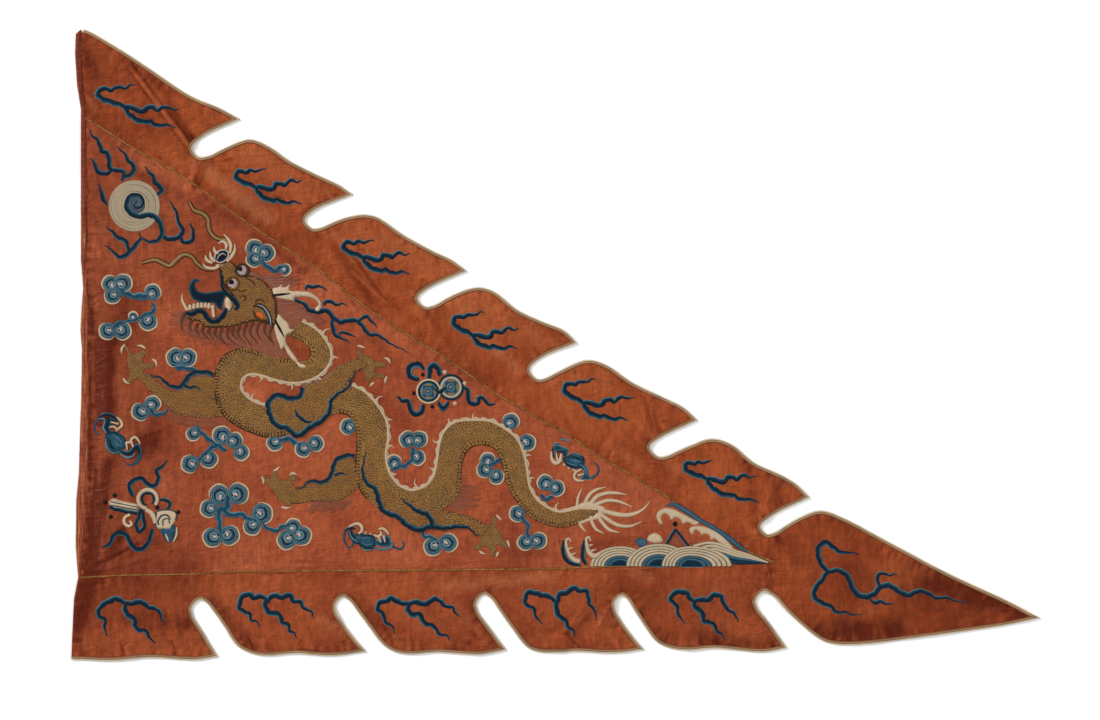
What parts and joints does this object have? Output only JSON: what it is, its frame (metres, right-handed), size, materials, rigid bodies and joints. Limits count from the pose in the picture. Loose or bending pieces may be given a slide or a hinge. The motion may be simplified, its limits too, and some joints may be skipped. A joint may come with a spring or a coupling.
{
  "type": "embroidered triangular dragon banner",
  "caption": "Triangular silk banner with flame-toothed borders, a long pointed tail, bound edges and an embroidered dragon, lying face up.",
  "frame": {"origin": "under the middle of the banner's own box, on the surface it lies on", "axes": "+X along the fly towards the tail's point, +Y up the hoist, +Z out of the embroidered face"},
  "size_m": [1.55, 1.011, 0.0064],
  "materials": {
    "field_satin": "orange-red silk satin with couched gold and silk floss embroidery",
    "border_satin": "orange-red silk satin, slightly browner than the field",
    "hem_satin": "worn and puckered silk satin hem",
    "binding_silk": "dull cream silk binding"
  },
  "bodies": {
    "root": {"field": "field_satin", "upper_border": "border_satin", "lower_border": "border_satin", "hoist_heading": "hem_satin", "binding_upper": "binding_silk", "binding_lower": "binding_silk"}
  },
  "joints": []
}
